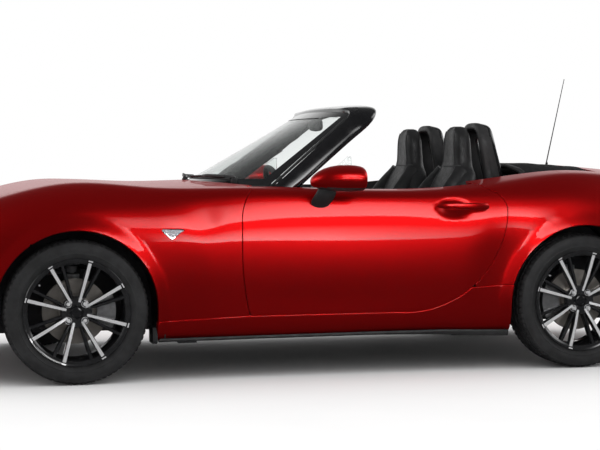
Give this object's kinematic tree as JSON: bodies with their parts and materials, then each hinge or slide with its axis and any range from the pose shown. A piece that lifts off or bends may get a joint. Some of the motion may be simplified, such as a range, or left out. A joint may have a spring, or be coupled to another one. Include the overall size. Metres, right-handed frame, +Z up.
{
  "type": "convertible car",
  "caption": "Low open two-seat roadster with its roof folded; doors, hood and trunk lid open, front wheels steer with the steering wheel, and it rolls on its wheels.",
  "frame": {"origin": "on the ground, at the middle of the car's length and width", "axes": "+X towards the car's front, +Y towards its left side, +Z up"},
  "size_m": [3.915, 1.9204, 1.3976],
  "materials": {
    "paint": "gloss",
    "underbody": "satin",
    "black_gloss": "gloss",
    "black_plastic": "matte",
    "glass": "gloss",
    "lens_clear": "gloss",
    "lens_red": "gloss",
    "seat_leather": "satin",
    "roof_cloth": "matte",
    "trim": "matte",
    "cast": "satin",
    "alloy": "satin",
    "exhaust_steel": "satin",
    "disc_iron": "satin",
    "rim_finish": "gloss",
    "tyre": "matte"
  },
  "bodies": {
    "body": {"floor_pan": "underbody", "tunnel": "underbody", "front_structure": "underbody", "boot_tub": "underbody", "fenders": "paint", "side_repeaters": "lens_clear", "front_bumper": "paint", "grille": "black_plastic", "headlamps": "lens_clear", "cowl_panel": "black_plastic", "windscreen_glass": "glass", "windscreen_frame": "black_gloss", "wipers": "black_plastic", "sills": "paint", "jack_pads": "underbody", "quarter_panels": "paint", "rear_bumper": "paint", "rear_deck": "paint", "soft_top": "roof_cloth", "tail_lamps": "lens_red", "wheel_liners": "black_plastic", "seat_cushions": "seat_leather", "seat_backs": "seat_leather", "roll_hoops": "black_gloss", "wind_deflector": "black_plastic", "dashboard": "trim", "centre_console": "trim", "interior_mirror": "black_gloss", "engine": "cast", "radiator": "black_plastic", "exhaust": "exhaust_steel", "front_suspension": "cast", "rear_suspension": "cast", "rear_uprights": "alloy", "antenna": "black_plastic"},
    "door_left": {"door_left": "paint", "mirror_left": "paint", "quarter_pane_left": "glass"},
    "door_right": {"door_right": "paint", "mirror_right": "paint", "quarter_pane_right": "glass"},
    "hood": {"hood": "paint"},
    "trunk_lid": {"trunk_lid": "paint"},
    "steering_wheel": {"steering_wheel": "trim"},
    "knuckle_left": {"knuckle_left": "alloy"},
    "knuckle_right": {"knuckle_right": "alloy"},
    "wheel_front_left": {"tyre_front_left": "tyre", "rim_front_left": "rim_finish", "disc_front_left": "disc_iron"},
    "wheel_front_right": {"tyre_front_right": "tyre", "rim_front_right": "rim_finish", "disc_front_right": "disc_iron"},
    "wheel_rear_left": {"tyre_rear_left": "tyre", "rim_rear_left": "rim_finish", "disc_rear_left": "disc_iron"},
    "wheel_rear_right": {"tyre_rear_right": "tyre", "rim_rear_right": "rim_finish", "disc_rear_right": "disc_iron"}
  },
  "joints": [
    {"name": "door_left_hinge", "type": "hinge", "parent": "body", "child": "door_left", "pos_m": [0.408, 0.8, 0.53], "axis": [0, 0, -1], "range_deg": [0, 60]},
    {"name": "door_right_hinge", "type": "hinge", "parent": "body", "child": "door_right", "pos_m": [0.408, -0.8, 0.53], "axis": [0, 0, 1], "range_deg": [0, 60]},
    {"name": "hood_hinge", "type": "hinge", "parent": "body", "child": "hood", "pos_m": [0.385, 0, 0.803], "axis": [0, -1, 0], "range_deg": [0, 50]},
    {"name": "trunk_hinge", "type": "hinge", "parent": "body", "child": "trunk_lid", "pos_m": [-1.335, 0, 0.878], "axis": [0, 1, 0], "range_deg": [0, 65]},
    {"name": "steer_left", "type": "hinge", "parent": "body", "child": "knuckle_left", "pos_m": [1.1875, 0.66, 0.308], "axis": [0, 0, 1], "range_deg": [-34, 34]},
    {"name": "steer_right", "type": "hinge", "parent": "body", "child": "knuckle_right", "pos_m": [1.1875, -0.66, 0.308], "axis": [0, 0, 1], "range_deg": [-34, 34]},
    {"name": "steering_wheel_turn", "type": "hinge", "parent": "body", "child": "steering_wheel", "pos_m": [0, -0.355, 0.762], "axis": [-0.9063, 0, 0.4226], "range_deg": [-480, 480]},
    {"name": "wheel_front_left_spin", "type": "hinge", "parent": "knuckle_left", "child": "wheel_front_left", "pos_m": [1.1875, 0.7475, 0.308], "axis": [0, 1, 0], "continuous": true},
    {"name": "wheel_front_right_spin", "type": "hinge", "parent": "knuckle_right", "child": "wheel_front_right", "pos_m": [1.1875, -0.7475, 0.308], "axis": [0, 1, 0], "continuous": true},
    {"name": "wheel_rear_left_spin", "type": "hinge", "parent": "body", "child": "wheel_rear_left", "pos_m": [-1.1225, 0.7475, 0.308], "axis": [0, 1, 0], "continuous": true},
    {"name": "wheel_rear_right_spin", "type": "hinge", "parent": "body", "child": "wheel_rear_right", "pos_m": [-1.1225, -0.7475, 0.308], "axis": [0, 1, 0], "continuous": true}
  ],
  "couplings": [
    {"joint": "steer_right", "follows": "steer_left", "ratio": 1},
    {"joint": "steering_wheel_turn", "follows": "steer_left", "ratio": 14}
  ]
}
